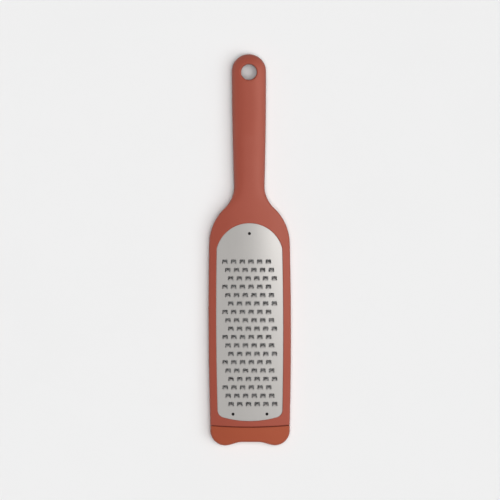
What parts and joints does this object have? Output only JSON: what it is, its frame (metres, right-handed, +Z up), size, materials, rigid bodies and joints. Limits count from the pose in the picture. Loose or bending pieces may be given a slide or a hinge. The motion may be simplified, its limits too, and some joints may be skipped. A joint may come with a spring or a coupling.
{
  "type": "coarse grater",
  "caption": "Hand grater with an arched steel blade of raised teeth, a moulded frame and handle with a hang hole, and a soft notched foot at the far end.",
  "frame": {"origin": "on the surface that the grater lies on, under the middle of its length and width", "axes": "+X across the head, +Y along the grater towards the handle, +Z up out of the toothed face"},
  "size_m": [0.0658, 0.312, 0.0154],
  "materials": {
    "frame": "fine matt moulded plastic, terracotta",
    "blade": "satin stainless steel sheet",
    "foot": "soft matt thermoplastic, orange terracotta"
  },
  "bodies": {
    "root": {"frame": "frame", "blade": "blade", "foot": "foot"}
  },
  "joints": []
}
